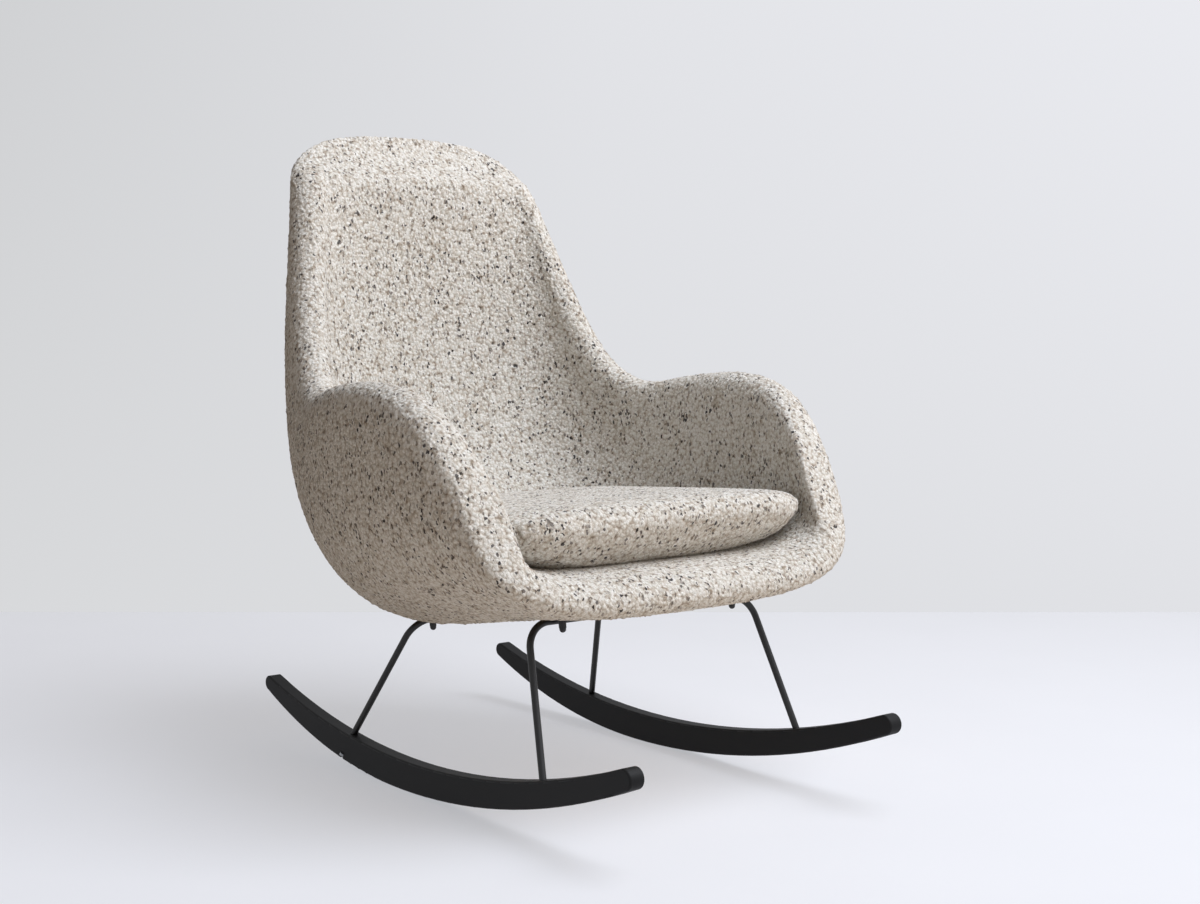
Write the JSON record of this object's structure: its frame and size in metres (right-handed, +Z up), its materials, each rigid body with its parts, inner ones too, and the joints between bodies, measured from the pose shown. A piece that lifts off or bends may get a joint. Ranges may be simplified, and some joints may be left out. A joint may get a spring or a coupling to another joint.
{
  "type": "upholstered rocking chair",
  "caption": "High-backed upholstered bucket chair with a loose seat cushion, on bent rod legs and two curved wooden rockers.",
  "frame": {"origin": "on the floor, midway between the rockers and midway between their front and rear tips", "axes": "+Z up, -Y towards the front of the seat, +X towards the sitter's left"},
  "size_m": [0.7376, 0.9682, 0.9934],
  "materials": {
    "boucle": "matte",
    "padding": "matte",
    "moulded_shell": "matte",
    "black_wood": "satin",
    "plywood": "matte",
    "black_steel": "satin",
    "zinc_steel": "satin"
  },
  "bodies": {
    "chair": {"left_rocker": "black_wood", "right_rocker": "black_wood", "rocker_screws": "zinc_steel", "front_leg_hoop": "black_steel", "rear_leg_hoop": "black_steel", "mounting_board": "plywood", "bolt_sleeves": "zinc_steel", "mounting_bolts": "zinc_steel", "bolt_washers": "black_steel", "lock_nuts": "black_steel", "cap_nuts": "black_steel", "front_left_tab": "black_steel", "front_right_tab": "black_steel", "rear_left_tab": "black_steel", "rear_right_tab": "black_steel", "structural_shell": "moulded_shell", "seat_inner_foam": "padding", "back_inner_foam": "padding", "seat_outer_foam": "padding", "back_outer_foam": "padding", "fabric_cover": "boucle"},
    "cushion": {"cushion_cover": "boucle", "cushion_core": "padding"}
  },
  "joints": [
    {"name": "cushion_lift", "type": "slide", "parent": "chair", "child": "cushion", "axis": [0, 0, 1], "range_m": [0, 0.35]}
  ]
}
